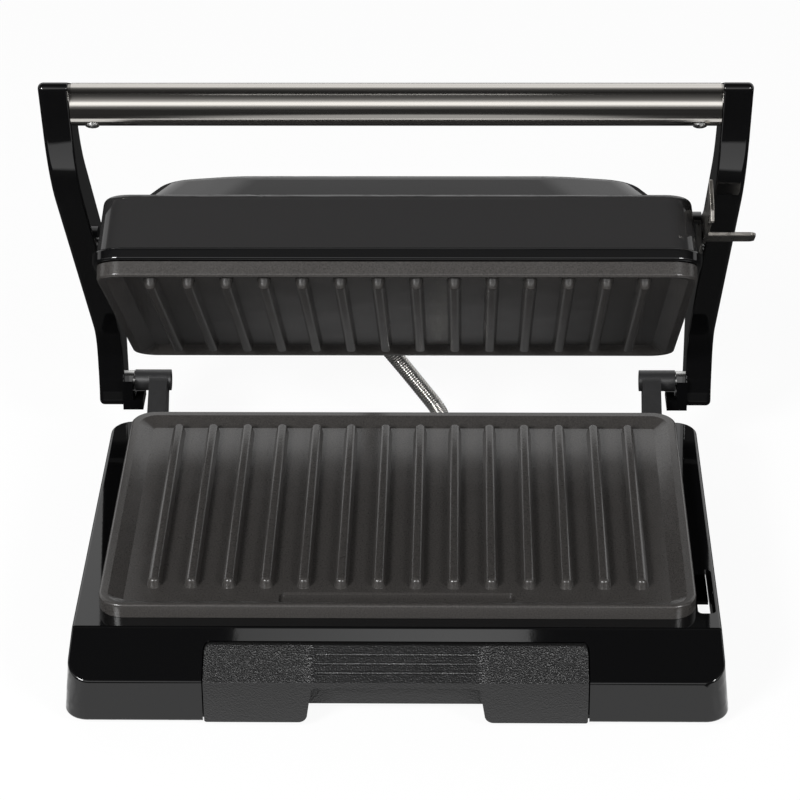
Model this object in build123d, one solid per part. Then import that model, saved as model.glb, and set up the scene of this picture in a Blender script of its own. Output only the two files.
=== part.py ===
from build123d import *
import math
import os

# Panini press, in millimetres. X runs to the right, Y away from the user, Z up.
# The origin is on the table under the middle of the base.
# The lid and its arms are drawn open, as the press stands ready for use.

# Base housing
BASE_HALF_TOP = 136.0
BASE_HALF_BOTTOM = 139.2
BASE_FRONT = -98.5
BASE_REAR = 98.5
BASE_BOTTOM = 3.0
BASE_TOP = 36.0
BASE_CORNER = 10.0
BASE_EDGE = 1.5
CREASE_Z = 23.0
SLOPE_TOP_Y = -76.4
DECK_GROOVE_Y = (-77.2, -76.1)
DECK_GROOVE_DEPTH = 0.9
WALL = 2.5
PLATE_HOLE_HALF = 117.0
PLATE_HOLE_Y = (-62.0, 88.0)

# Grill plates
PLATE_Y = (-70.0, 96.0)
LOWER_PLATE_HALF = 126.2
UPPER_PLATE_HALF = 125.0
PLATE_CORNER = 11.0
PLATE_RIM_HEIGHT = 6.4
PLATE_GAP = 5.0
DISH_EDGE = 4.0
DISH_FRONT_LIP = 1.6
DISH_DEPTH = 3.2
DISH_TAPER = 63.4
RIB_COUNT = 14
RIB_PITCH = 15.95
RIB_ROOT_WIDTH = 6.4
RIB_END = 3.1
RIB_HEIGHT = 4.2
RIB_SUNK = 0.5
RIB_TAPER = 16.0
RIB_EDGE = 1.7
RIB_Y = (-52.6, 84.0)
DRAIN_HALF = 50.0
DRAIN_Y = (-64.2, -55.0)
DRAIN_DEPTH = 1.2
DRAIN_SLOT_HALF = 40.0
DRAIN_SLOT_Y = (-63.8, -61.8)
LOWER_RIM_TOP = 42.5
UPPER_RIM_BOTTOM = LOWER_RIM_TOP + PLATE_GAP

# Hinge and lid angle
HINGE_Y = 127.0
HINGE_Z = 42.0
OPEN_ANGLE = 39.7
PIN_RADIUS = 3.0
RUNNING_GAP = 0.05
BARREL_RADIUS = 5.0
BARREL_X = (111.0, 128.0)
COLLAR_RADIUS = 4.6
COLLAR_X = (128.4, 132.5)

# Arms and handle
ARM_INNER = 132.5
ARM_OUTER = 144.8
HANDLE_Y = 2.5
HANDLE_Z = 239.0
HANDLE_RADIUS = 8.75
HANDLE_WALL = 1.2
PIVOT_Y = 13.0
PIVOT_Z = 81.0

# Lid, measured with the press closed
FLANGE_HALF = 127.0
FLANGE_Y = (-71.6, 98.0)
FLANGE_Z = (54.2, 59.6)
FLANGE_HOLE_HALF = 116.0
LID_LOW_HALF = 125.2
LID_LOW_Y = (-70.8, 97.0)
LID_HIGH_HALF = 122.8
LID_HIGH_Y = (-68.4, 94.6)
LID_SHOULDER_Z = 83.3
LID_EDGE = 3.0
DOME_SUNK = 1.5
DOME_LOW_HALF = 121.6
DOME_LOW_Y = (-57.1, 82.0)
DOME_HIGH_HALF = 106.0
DOME_HIGH_Y = (-46.2, 72.0)
DOME_Z = 97.2
DOME_EDGE = 7.0

# Latch, measured with the press closed
LATCH_Y = -38.0
LATCH_Z = 76.0
LATCH_X = (128.6, 130.2)
LATCH_TAB_END = 150.3
LATCH_TAB_Y = (LATCH_Y - 14.0, LATCH_Y - 3.0)
LATCH_TAB_Z = (LATCH_Z - 6.6, LATCH_Z - 5.0)
SLOT_X = (126.9, 134.4)
SLOT_Y = (-65.2, -30.9)
PEEP_X = (130.4, 137.0)
PEEP_Y = (-18.5, -8.0)

# Drip tray
TRAY_HALF = 80.0
TRAY_TOP_Z = 32.0
TRAY_PROUD = 0.8
TRAY_APRON = 2.4
TRAY_GAP = 0.6
TRAY_CORNER = 2.0
TRAY_GROOVE_HALF = 33.6
TRAY_GROOVE_Z = (25.6, 27.75, 29.9)
TRAY_GROOVE_RADIUS = 0.8
TRAY_PAN_HALF = 74.0
TRAY_PAN_Y = (-90.0, -18.0)
TRAY_PAN_Z = (6.6, 21.0)
NOTCH_HALF_TOP = 35.0
NOTCH_HALF_LOW = 37.5
NOTCH_TOP_Z = 20.6
NOTCH_CORNER = 3.0
NOTCH_FOOT = 3.8

# Steel conduit between base and lid
CONDUIT_RADIUS = 3.6
CONDUIT_WIRE = 0.9
CONDUIT_PITCH = 1.9
CONDUIT_BEND = 24.0
FERRULE_LENGTH = 6.0
FERRULE_RADIUS = 6.0
CONDUIT_BASE_X = 20.0
CONDUIT_BASE_Z = 18.0
CONDUIT_LID_X = -17.0
CONDUIT_LID_Z = 69.0
LEAD_RADIUS = 1.8
LEAD_HOLE = 2.4

open_lid = Pos(0, HINGE_Y, HINGE_Z) * Rot(-OPEN_ANGLE, 0, 0) * Pos(0, -HINGE_Y, -HINGE_Z)


def block(x, y, z):
    size = Box(x[1] - x[0], y[1] - y[0], z[1] - z[0])
    return Pos(sum(x) / 2, sum(y) / 2, sum(z) / 2) * size


def outline(half, y, z, radius):
    return Pos(0, sum(y) / 2, z) * RectangleRounded(2 * half, y[1] - y[0], radius)


def slab(half, y, z, radius):
    return extrude(outline(half, y, z[0], radius), z[1] - z[0])


def drafted(low, high):
    return loft([outline(*low), outline(*high)], ruled=True)


def rod_x(x, y, z, radius):
    return Pos(sum(x) / 2, y, z) * Rot(0, 90, 0) * Cylinder(radius, x[1] - x[0])


def rod_y(x, y, z, radius):
    return Pos(x, sum(y) / 2, z) * Rot(90, 0, 0) * Cylinder(radius, y[1] - y[0])


def rod_z(x, y, z, radius):
    return Pos(x, y, sum(z) / 2) * Cylinder(radius, z[1] - z[0])


def prism_x(face_line, x):
    return Pos(x[0], 0, 0) * extrude(Plane.YZ * make_face(face_line), x[1] - x[0])


def prism_y(face_line, y):
    return Pos(0, y[1], 0) * extrude(Plane.XZ * make_face(face_line), y[1] - y[0])


def mirrored(solid):
    return mirror(solid, about=Plane.YZ)


def opened_point(y, z):
    moved = open_lid * Pos(0, y, z)
    return moved.position.Y, moved.position.Z


def turned_tube(points, radii, radius):
    line = FilletPolyline(*points, radius=radii)
    tube = sweep(Plane(line @ 0, z_dir=line % 0) * Circle(radius), path=line)
    return line, tube


# Base housing: a drafted box with a sloping upper front, open below
def front_slope(setback):
    rise = BASE_TOP - CREASE_Z
    run = SLOPE_TOP_Y - BASE_FRONT
    steep = math.hypot(rise, run)
    y = BASE_FRONT + setback * rise / steep
    z = CREASE_Z - setback * run / steep
    reach = 2.0
    back = (y - reach * run, z - reach * rise)
    front = (y + reach * run, z + reach * rise)
    corner = (back[0], front[1])
    return prism_x(Polyline(back, front, corner, close=True), (-160, 160))


def leans_forward(face):
    return face.normal_at().Y < -0.2 and face.normal_at().Z > 0.2


COVER_SCREW_SPOTS = [(x, y) for x in (-122.0, 122.0) for y in (-70.0, 82.0)]
BRACKET_SCREW_X = 108.0
BRACKET_SCREW_Z = (14.0, 27.0)
CORD_X = -70.0
CORD_Z = 17.0


def base_housing():
    outer = drafted(
        (BASE_HALF_BOTTOM, (BASE_FRONT, BASE_REAR), BASE_BOTTOM, BASE_CORNER),
        (BASE_HALF_TOP, (BASE_FRONT, BASE_REAR), BASE_TOP, BASE_CORNER),
    )
    outer -= front_slope(0)
    top = outer.faces().sort_by(Axis.Z)[-1]
    slope = outer.faces().filter_by(leans_forward).sort_by(SortBy.AREA)[-1]
    outer = fillet(list(set(top.edges() + slope.edges())), BASE_EDGE)
    outer = fillet(outer.edges().group_by(Axis.Z)[0], BASE_EDGE)
    inner_y = (BASE_FRONT + WALL, BASE_REAR - WALL)
    inner = drafted(
        (BASE_HALF_BOTTOM - WALL, inner_y, BASE_BOTTOM, BASE_CORNER - WALL),
        (BASE_HALF_TOP - WALL, inner_y, BASE_TOP - WALL, BASE_CORNER - WALL),
    )
    inner -= front_slope(WALL)
    body = outer - inner
    for x, y in COVER_SCREW_SPOTS:
        body += rod_z(x, y, (8.0, BASE_TOP - WALL / 2), 4.0)
    for side in (-1, 1):
        pad_x = sorted((side * 102.0, side * 124.0))
        body += block(pad_x, (90.0, BASE_REAR - 1), (8.0, 32.0))
    body -= slab(PLATE_HOLE_HALF, PLATE_HOLE_Y, (BASE_TOP - 2 * WALL, BASE_TOP + 1), 8.0)
    slot_mid = (sum(SLOT_X) / 2, sum(SLOT_Y) / 2)
    slot = RectangleRounded(SLOT_X[1] - SLOT_X[0], SLOT_Y[1] - SLOT_Y[0], 2.0)
    body -= Pos(slot_mid[0], slot_mid[1], BASE_TOP - 6) * extrude(slot, 10)
    body -= block((-DRAIN_HALF, DRAIN_HALF), (-66.0, PLATE_HOLE_Y[0] + 1), (BASE_TOP - 6, BASE_TOP + 4))
    body -= block((-160, 160), DECK_GROOVE_Y, (BASE_TOP - DECK_GROOVE_DEPTH, BASE_TOP + 1))
    gap = TRAY_HALF + TRAY_GAP
    mouth_line = FilletPolyline(
        (-gap, BASE_BOTTOM - 1),
        (-gap, TRAY_TOP_Z + TRAY_GAP),
        (gap, TRAY_TOP_Z + TRAY_GAP),
        (gap, BASE_BOTTOM - 1),
        radius=[0.5, TRAY_CORNER + TRAY_GAP, TRAY_CORNER + TRAY_GAP, 0.5],
        close=True,
    )
    mouth = prism_y(mouth_line, (BASE_FRONT - 5, -60.0))
    behind_tray = tray_front_line(TRAY_APRON)[2][0] + TRAY_GAP
    body -= mouth - block((-gap - 1, gap + 1), (behind_tray, -59.0), (24.0, 40.0))
    body -= rod_y(CORD_X, (90.0, 105.0), CORD_Z, 6.0)
    body -= rod_y(CONDUIT_BASE_X, (90.0, 105.0), CONDUIT_BASE_Z, 4.9)
    for x, y in COVER_SCREW_SPOTS:
        body -= rod_z(x, y, (4.0, 20.0), 1.5)
    for x in (-BRACKET_SCREW_X, BRACKET_SCREW_X):
        for z in BRACKET_SCREW_Z:
            body -= rod_y(x, (88.0, 105.0), z, 2.0)
    return body


# Bottom cover: a flat moulding inside the housing, with two rails for the tray
COVER_Z = (3.3, 5.3)


def base_bottom_cover():
    cover = slab(136.2, (BASE_FRONT + 3, BASE_REAR - 3), COVER_Z, 7.5)
    cover -= block((-NOTCH_HALF_LOW, NOTCH_HALF_LOW), (BASE_FRONT, -82.0), (0, 10))
    for x in (-50.0, 50.0):
        cover += block((x - 3, x + 3), (-86.0, -20.0), (COVER_Z[1], TRAY_PAN_Z[0] - 0.3))
    for x, y in COVER_SCREW_SPOTS:
        cover -= rod_z(x, y, (0, 10), 1.6)
    return cover - block(PEEP_X, PEEP_Y, (0, 10))


def base_cover_screws():
    screws = Part()
    for x, y in COVER_SCREW_SPOTS:
        screws += rod_z(x, y, (COVER_Z[0], 16.0), 1.5) + rod_z(x, y, (1.6, COVER_Z[0]), 3.0)
    return screws


def rubber_feet():
    feet = Part()
    for x in (-102.0, 102.0):
        for y in (-76.0, 82.0):
            foot = rod_z(x, y, (0, COVER_Z[0]), 8.0)
            feet += chamfer(foot.edges().group_by(Axis.Z)[0], 0.8)
    return feet


# Grill plates: cast dishes with drafted ribs running front to back
def rib(x, root, height):
    length = RIB_Y[1] - RIB_Y[0]
    bar = extrude(RectangleRounded(RIB_ROOT_WIDTH, length, RIB_END), height, taper=RIB_TAPER)
    bar = fillet(bar.edges().group_by(Axis.Z)[-1], RIB_EDGE)
    return Pos(x, sum(RIB_Y) / 2, root) * bar


BOSS_SPOTS = [(x, y) for x in (-70.0, 70.0) for y in (-20.0, 45.0)]
PAN_DROP = LOWER_RIM_TOP - PLATE_RIM_HEIGHT - (BASE_TOP - WALL)
BOSS_DROP = 8.0
SHEET = 0.8


def grill_plate(half, drained):
    # Drawn with its rim top at Z 0 and its cooking side up.
    rim = slab(half, PLATE_Y, (-PLATE_RIM_HEIGHT, 0), PLATE_CORNER)
    rim = fillet(rim.edges().group_by(Axis.Z)[-1], 1.2)
    dish_y = (PLATE_Y[0] + DISH_FRONT_LIP, PLATE_Y[1] - DISH_EDGE)
    dish = outline(half - DISH_EDGE, dish_y, 0, 8.0)
    plate = rim - extrude(dish, -DISH_DEPTH, taper=DISH_TAPER)
    for index in range(RIB_COUNT):
        x = (index - (RIB_COUNT - 1) / 2) * RIB_PITCH
        plate += rib(x, -DISH_DEPTH - RIB_SUNK, RIB_HEIGHT + RIB_SUNK)
    if drained:
        plate -= slab(DRAIN_HALF, DRAIN_Y, (-DISH_DEPTH - DRAIN_DEPTH, 0), 3.0)
        plate -= slab(DRAIN_SLOT_HALF, DRAIN_SLOT_Y, (-PLATE_RIM_HEIGHT - 1, 0), 0.9)
    pan_y = (PLATE_HOLE_Y[0] + 2.0, PLATE_HOLE_Y[1] - 2.0)
    pan_low = -PLATE_RIM_HEIGHT - PAN_DROP
    plate += slab(PLATE_HOLE_HALF - 2.0, pan_y, (pan_low, -PLATE_RIM_HEIGHT + 1), 7.0)
    for x, y in BOSS_SPOTS:
        plate += rod_z(x, y, (pan_low - BOSS_DROP, pan_low + 1), 4.0)
        plate -= rod_z(x, y, (pan_low - BOSS_DROP - 1, pan_low), 2.0)
    return plate


def heating_element(z):
    ends = 22.0
    reach = 88.0
    points = [
        (ends, 66.0, z),
        (reach, 66.0, z),
        (reach, -38.0, z),
        (-reach, -38.0, z),
        (-reach, 66.0, z),
        (-ends, 66.0, z),
    ]
    return turned_tube(points, 16.0, 3.2)[1]


def heat_shield(depth):
    # Drawn below a brim whose top is at Z 0: a folded sheet pan.
    brim = slab(100.0, (-66.0, 92.0), (-SHEET, 0), 5.0)
    pan = slab(97.0, (-59.0, 85.0), (-depth - SHEET, 0), 7.0)
    inside = slab(97.0 - SHEET, (-59.0 + SHEET, 85.0 - SHEET), (-depth, 1), 6.5)
    drain_notch = block((-DRAIN_HALF, DRAIN_HALF), (-70.0, -60.4), (-2.0, 1.0))
    shield = brim - drain_notch + pan - inside
    for x, y in BOSS_SPOTS:
        shield -= rod_z(x, y, (-depth - 2, 0), 2.2)
    return shield


def plate_screws(head_z):
    # Drawn pointing up, with the underside of the heads at head_z.
    screws = Part()
    for x, y in BOSS_SPOTS:
        screws += rod_z(x, y, (head_z - 1.8, head_z), 3.6) + rod_z(x, y, (head_z, head_z + 7.0), 2.0)
    return screws


def lower_plate():
    return Pos(0, 0, LOWER_RIM_TOP) * grill_plate(LOWER_PLATE_HALF, True)


def flipped(z):
    # Turns a piece drawn for the base over, so that its Z 0 lies at z.
    return Pos(0, 0, z) * Rot(0, 180, 0)


LOWER_PAN_Z = LOWER_RIM_TOP - PLATE_RIM_HEIGHT - PAN_DROP
UPPER_PAN_Z = UPPER_RIM_BOTTOM + PLATE_RIM_HEIGHT + PAN_DROP
LOWER_BRIM_Z = BASE_TOP - WALL
UPPER_BRIM_Z = FLANGE_Z[1]
LOWER_SHIELD_DEPTH = LOWER_BRIM_Z - LOWER_PAN_Z + BOSS_DROP
UPPER_SHIELD_DEPTH = UPPER_PAN_Z + BOSS_DROP - UPPER_BRIM_Z


# Small electrical pieces under the lower plate
def thermostat():
    body = rod_z(0, 58.0, (LOWER_PAN_Z - 5.5, LOWER_PAN_Z), 8.0)
    blades = Part()
    for x in (-11.0, 11.0):
        blades += block((x - 3.4, x + 3.4), (56.0, 60.0), (LOWER_PAN_Z - 4.0, LOWER_PAN_Z - 3.2))
    return body + blades


def thermal_fuse():
    body = rod_x((-8.0, 8.0), 15.0, LOWER_PAN_Z - 2.1, 2.0)
    return body + rod_x((-22.0, 22.0), 15.0, LOWER_PAN_Z - 2.1, 0.6)


def terminal_block():
    body = block((52.0, 88.0), (40.0, 56.0), (COVER_Z[1], 15.0))
    for x in (58.0, 70.0, 82.0):
        body -= rod_z(x, 48.0, (11.0, 16.0), 2.4)
    return body


def cord_inlet():
    collar = rod_y(CORD_X, (BASE_REAR, BASE_REAR + 3.0), CORD_Z, 8.5)
    neck = rod_y(CORD_X, (BASE_REAR - 6.0, BASE_REAR), CORD_Z, 5.9)
    collar = chamfer(collar.edges().group_by(Axis.Y)[-1], 1.0)
    return collar + neck - rod_y(CORD_X, (80.0, 110.0), CORD_Z, 3.9)


# Hinge brackets: cast posts behind the base that carry the barrels
def hinge_bracket():
    web_line = Polyline(
        (BASE_REAR, 10.0),
        (BASE_REAR, 31.0),
        (HINGE_Y - 7.0, HINGE_Z + 2.6),
        (HINGE_Y, HINGE_Z + 4.0),
        (HINGE_Y + 4.0, HINGE_Z),
        (HINGE_Y + 3.0, HINGE_Z - 6.0),
        (108.0, 10.0),
        close=True,
    )
    bracket = prism_x(web_line, (112.5, 121.0))
    bracket += block((103.0, 122.0), (BASE_REAR, BASE_REAR + 3.0), (9.0, 32.0))
    bracket += rod_x(BARREL_X, HINGE_Y, HINGE_Z, BARREL_RADIUS)
    bracket -= rod_x((100, 130), HINGE_Y, HINGE_Z, PIN_RADIUS + RUNNING_GAP)
    for z in BRACKET_SCREW_Z:
        bracket -= rod_y(BRACKET_SCREW_X, (90.0, 130.0), z, 2.0)
    return bracket


def hinge_bracket_screws():
    screws = Part()
    for x in (-BRACKET_SCREW_X, BRACKET_SCREW_X):
        for z in BRACKET_SCREW_Z:
            screws += rod_y(x, (91.0, BASE_REAR + 3.0), z, 2.0)
            screws += rod_y(x, (BASE_REAR + 3.0, BASE_REAR + 5.2), z, 3.4)
    return screws


# Arms: curved bars from the hinge up to the handle
def arm(pivot):
    line = FilletPolyline(
        (117.8, 32.0),
        (119.8, 39.3),
        (120.5, 46.7),
        (120.5, 67.5),
        (4.6, 203.1),
        (-10.2, 254.3),
        (10.1, 245.1),
        (19.1, 213.8),
        (139.5, 73.0),
        (139.5, 32.0),
        radius=[3.0, 0.8, 0.8, 30.0, 110.0, 2.5, 5.0, 90.0, 22.0, 7.0],
        close=True,
    )
    bar = prism_x(line, (ARM_INNER, ARM_OUTER))
    bar = fillet(bar.edges().group_by(Axis.X)[-1], 2.2)
    bar = fillet(bar.edges().group_by(Axis.X)[0], 0.9)
    cradle = Polyline(
        (117.6, 31.0),
        (133.0, 31.0),
        (133.0, HINGE_Z - 0.4),
        (HINGE_Y - 3.7, HINGE_Z - 0.4),
        (HINGE_Y - 3.7, HINGE_Z + 4.2),
        (117.6, HINGE_Z + 4.2),
        close=True,
    )
    bar += prism_x(cradle, (BARREL_X[1] + 0.5, ARM_INNER + 1.0))
    bar += block((124.0, BARREL_X[1] + 1.0), (117.6, 133.0), (31.0, HINGE_Z - BARREL_RADIUS - 0.8))
    bar -= rod_x((120.0, 141.0), HINGE_Y, HINGE_Z, PIN_RADIUS)
    bar -= rod_x((120.0, COLLAR_X[1]), HINGE_Y, HINGE_Z, COLLAR_RADIUS)
    spigot = rod_x((ARM_INNER - 20.0, ARM_INNER + 1), HANDLE_Y, HANDLE_Z, HANDLE_RADIUS - HANDLE_WALL - 0.1)
    bar += spigot
    bar -= rod_x((120.0, 141.0), pivot[0], pivot[1], PIN_RADIUS)
    bar -= handle_screw(SCREW_X)
    return bar


# Hinge pins: steel pins fixed in the arms, with a collar between arm and barrel
def hinge_pin():
    pin = rod_x((BARREL_X[0] + 0.5, 141.0), HINGE_Y, HINGE_Z, PIN_RADIUS)
    return pin + rod_x(COLLAR_X, HINGE_Y, HINGE_Z, COLLAR_RADIUS)


# Handle: a brushed steel tube over the spigots of the arms, held by two screws
SCREW_X = 124.0
SCREW_LEAN = 38.0


def handle_screw(x):
    shank = rod_z(0, 0, (-HANDLE_RADIUS, -2.0), 1.6)
    head = rod_z(0, 0, (-HANDLE_RADIUS - 1.2, -HANDLE_RADIUS + 0.6), 2.8)
    head = fillet(head.edges().group_by(Axis.Z)[0], 0.9)
    return Pos(x, HANDLE_Y, HANDLE_Z) * Rot(-SCREW_LEAN, 0, 0) * (shank + head)


def handle_tube():
    tube = rod_x((-ARM_INNER, ARM_INNER), HANDLE_Y, HANDLE_Z, HANDLE_RADIUS)
    tube -= rod_x((-ARM_INNER, ARM_INNER), HANDLE_Y, HANDLE_Z, HANDLE_RADIUS - HANDLE_WALL)
    return tube - handle_screw(-SCREW_X) - handle_screw(SCREW_X)


# Lid shell: a drafted cover with a raised dome, drawn closed
def dome_outline(half, y, z):
    # Each corner takes three gentle turns, so that the front and rear edges bow.
    right_side = [
        (half - 40.0, y[0]),
        (half - 8.0, y[0] + 8.4),
        (half, y[0] + 32.0),
        (half, y[1] - 32.0),
        (half - 8.0, y[1] - 8.4),
        (half - 40.0, y[1]),
    ]
    left_side = [(-x, depth) for x, depth in reversed(right_side)]
    turn_radii = [80.0, 22.0, 60.0, 60.0, 22.0, 80.0]
    line = FilletPolyline(*right_side, *left_side, radius=turn_radii * 2, close=True)
    return Pos(0, 0, z) * make_face(line)


def lid_form(wall):
    z_low = FLANGE_Z[1]
    low_y = (LID_LOW_Y[0] + wall, LID_LOW_Y[1] - wall)
    high_y = (LID_HIGH_Y[0] + wall, LID_HIGH_Y[1] - wall)
    shoulder = LID_SHOULDER_Z - wall
    cover = drafted(
        (LID_LOW_HALF - wall, low_y, z_low, 12.0 - wall),
        (LID_HIGH_HALF - wall, high_y, shoulder, 12.0 - wall),
    )
    cover = fillet(cover.edges().group_by(Axis.Z)[-1], LID_EDGE - wall / 2)
    dome_low_y = (DOME_LOW_Y[0] + wall, DOME_LOW_Y[1] - wall)
    dome_high_y = (DOME_HIGH_Y[0] + wall, DOME_HIGH_Y[1] - wall)
    dome_low = dome_outline(DOME_LOW_HALF - wall, dome_low_y, shoulder - DOME_SUNK)
    dome_high = dome_outline(DOME_HIGH_HALF - wall, dome_high_y, DOME_Z - wall)
    dome = loft([dome_low, dome_high], ruled=True)
    dome = fillet(dome.edges().group_by(Axis.Z)[-1], DOME_EDGE)
    return cover + dome


LID_SCREW_SPOTS = [(x, y) for x in (-119.8, 119.8) for y in (-50.0, 74.0)]


def lid_shell():
    shell = lid_form(0.0) - lid_form(WALL)
    for x, y in LID_SCREW_SPOTS:
        shell += rod_z(x, y, (FLANGE_Z[1], LID_SHOULDER_Z - 4.0), 3.0)
        shell -= rod_z(x, y, (FLANGE_Z[1] - 1, 72.0), 1.5)
    for side in (-1, 1):
        ear_x = sorted((side * 117.0, side * (ARM_INNER - 0.8)))
        shell += rod_x(ear_x, PIVOT_Y, PIVOT_Z, 8.0)
        hole_x = sorted((side * 121.0, side * (ARM_INNER + 1)))
        shell -= rod_x(hole_x, PIVOT_Y, PIVOT_Z, PIN_RADIUS + RUNNING_GAP)
    shell -= rod_y(CONDUIT_LID_X, (80.0, 110.0), CONDUIT_LID_Z, 4.9)
    return shell


def lid_flange():
    flange = slab(FLANGE_HALF, FLANGE_Y, FLANGE_Z, 13.0)
    flange = fillet(flange.edges().group_by(Axis.Z)[-1], 1.2)
    flange = fillet(flange.edges().group_by(Axis.Z)[0], 1.2)
    flange -= slab(FLANGE_HOLE_HALF, PLATE_HOLE_Y, (50.0, 65.0), 8.0)
    for x, y in LID_SCREW_SPOTS:
        flange -= rod_z(x, y, (50.0, 65.0), 1.6) + rod_z(x, y, (50.0, FLANGE_Z[0] + 2.0), 2.9)
    return flange


def lid_screws():
    screws = Part()
    for x, y in LID_SCREW_SPOTS:
        screws += rod_z(x, y, (FLANGE_Z[0] + 2.0, 71.0), 1.5)
        screws += rod_z(x, y, (FLANGE_Z[0] + 0.2, FLANGE_Z[0] + 2.0), 2.7)
    return screws


# Latch: a steel lever on the right of the lid that turns down into the base slot
def latch_boss():
    mid_z = LATCH_Z
    boss = block((121.0, LATCH_X[0] - 0.3), (LATCH_Y - 7.0, LATCH_Y + 7.0), (FLANGE_Z[1] + 0.2, mid_z))
    boss += rod_x((121.0, LATCH_X[0] - 0.3), LATCH_Y, mid_z, 7.0)
    boss -= lid_form(0.0)
    return boss - rod_x((115.0, 130.0), LATCH_Y, LATCH_Z, 2.0)


def latch_rivet():
    rivet = rod_x((124.5, LATCH_X[1] + 0.3), LATCH_Y, LATCH_Z, 2.0)
    head = rod_x((LATCH_X[1] + 0.3, LATCH_X[1] + 1.7), LATCH_Y, LATCH_Z, 3.6)
    return rivet + fillet(head.edges().group_by(Axis.X)[-1], 0.8)


def latch_lever():
    tip = LATCH_Y - 47.5
    barb = LATCH_Y - 44.8
    low = LATCH_Z - 9.0
    lever_line = FilletPolyline(
        (LATCH_Y + 6.5, LATCH_Z + 6.0),
        (LATCH_Y - 30.0, LATCH_Z + 4.5),
        (LATCH_Y - 41.5, LATCH_Z + 11.0),
        (tip, LATCH_Z - 4.0),
        (tip + 0.4, low),
        (barb, low),
        (barb, LATCH_Z - 2.4),
        (LATCH_Y - 34.0, LATCH_TAB_Z[0]),
        (LATCH_Y + 6.5, LATCH_TAB_Z[0]),
        radius=[5.5, 8.0, 1.2, 2.0, 0.8, 0.8, 1.5, 6.0, 5.5],
        close=True,
    )
    lever = prism_x(lever_line, LATCH_X)
    tab = block((LATCH_X[0], LATCH_TAB_END), LATCH_TAB_Y, LATCH_TAB_Z)
    far_edges = tab.edges().filter_by(Axis.Z).group_by(Axis.X)[-1]
    tab = fillet(far_edges, 2.5)
    lever += tab
    return lever - rod_x((120, 140), LATCH_Y, LATCH_Z, 2.0 + RUNNING_GAP)


# Drip tray: a pan under the plate with a textured front and a finger notch
def tray_front_line(setback):
    rise = BASE_TOP - CREASE_Z
    run = SLOPE_TOP_Y - BASE_FRONT
    top_y = BASE_FRONT + (TRAY_TOP_Z - CREASE_Z) * run / rise
    return [
        (BASE_FRONT + setback, BASE_BOTTOM + 0.4),
        (BASE_FRONT + setback, CREASE_Z - setback * 0.3),
        (top_y + setback, TRAY_TOP_Z - setback * 0.3),
    ]


def tray_apron():
    outside = tray_front_line(-TRAY_PROUD)
    inside = tray_front_line(TRAY_APRON)
    apron = prism_x(Polyline(*outside, *reversed(inside), close=True), (-TRAY_HALF, TRAY_HALF))
    low = BASE_BOTTOM + 0.4
    front_line = FilletPolyline(
        (-TRAY_HALF, low),
        (-TRAY_HALF, TRAY_TOP_Z),
        (TRAY_HALF, TRAY_TOP_Z),
        (TRAY_HALF, low),
        (NOTCH_HALF_LOW, low),
        (NOTCH_HALF_TOP, NOTCH_TOP_Z),
        (-NOTCH_HALF_TOP, NOTCH_TOP_Z),
        (-NOTCH_HALF_LOW, low),
        radius=[1.0, TRAY_CORNER, TRAY_CORNER, 1.0, NOTCH_FOOT, NOTCH_CORNER, NOTCH_CORNER, NOTCH_FOOT],
        close=True,
    )
    apron &= prism_y(front_line, (BASE_FRONT - 5, SLOPE_TOP_Y))
    crease_y, crease_z = outside[1]
    top_y, top_z = outside[2]
    for z in TRAY_GROOVE_Z:
        y = crease_y + (z - crease_z) * (top_y - crease_y) / (top_z - crease_z)
        apron -= rod_x((-TRAY_GROOVE_HALF, TRAY_GROOVE_HALF), y, z, TRAY_GROOVE_RADIUS)
    return apron


def drip_tray():
    pan = block((-TRAY_PAN_HALF, TRAY_PAN_HALF), TRAY_PAN_Y, TRAY_PAN_Z)
    pan = fillet(pan.edges().filter_by(Axis.Z), 6.0)
    wall = 1.8
    hollow = block(
        (-TRAY_PAN_HALF + wall, TRAY_PAN_HALF - wall),
        (TRAY_PAN_Y[0] + wall, TRAY_PAN_Y[1] - wall),
        (TRAY_PAN_Z[0] + wall, TRAY_PAN_Z[1] + 5),
    )
    hollow = fillet(hollow.edges().filter_by(Axis.Z), 4.2)
    link = block((-TRAY_PAN_HALF, TRAY_PAN_HALF), (BASE_FRONT + 1.0, TRAY_PAN_Y[0] + wall), (19.2, 21.0))
    notch = block((-NOTCH_HALF_TOP, NOTCH_HALF_TOP), (BASE_FRONT, BASE_FRONT + 4.0), (10.0, NOTCH_TOP_Z))
    return tray_apron() + (pan - hollow) + (link - notch)


# Steel conduit: close-wound wire from the base ferrule to the lid ferrule
def conduit_route():
    start = Vector(CONDUIT_BASE_X, BASE_REAR + FERRULE_LENGTH, CONDUIT_BASE_Z)
    lid_y, lid_z = opened_point(LID_LOW_Y[1] + FERRULE_LENGTH, CONDUIT_LID_Z)
    end = Vector(CONDUIT_LID_X, lid_y, lid_z)
    out = Vector(0, math.cos(math.radians(OPEN_ANGLE)), -math.sin(math.radians(OPEN_ANGLE)))
    low_turn = start + Vector(0, 27.0, 0)
    high_turn = end + out * 24.0
    return start, low_turn, high_turn, end


def ferrule(x, y, z):
    ring = rod_y(x, (y, y + FERRULE_LENGTH), z, FERRULE_RADIUS)
    ring = chamfer(ring.edges().group_by(Axis.Y)[-1], 0.8)
    return ring - rod_y(x, (y - 1, y + FERRULE_LENGTH + 1), z, LEAD_HOLE)


def lid_leads():
    start, low_turn, high_turn, end = conduit_route()
    inward = (start - low_turn).normalized() * 12.0
    inside = (end - high_turn).normalized() * 12.0
    points = [start + inward, low_turn, high_turn, end + inside]
    line, tube = turned_tube(points, CONDUIT_BEND, LEAD_RADIUS)
    section = math.pi * LEAD_RADIUS**2
    print("leads volume over section times length", tube.volume / (section * line.length))
    return tube


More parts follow.
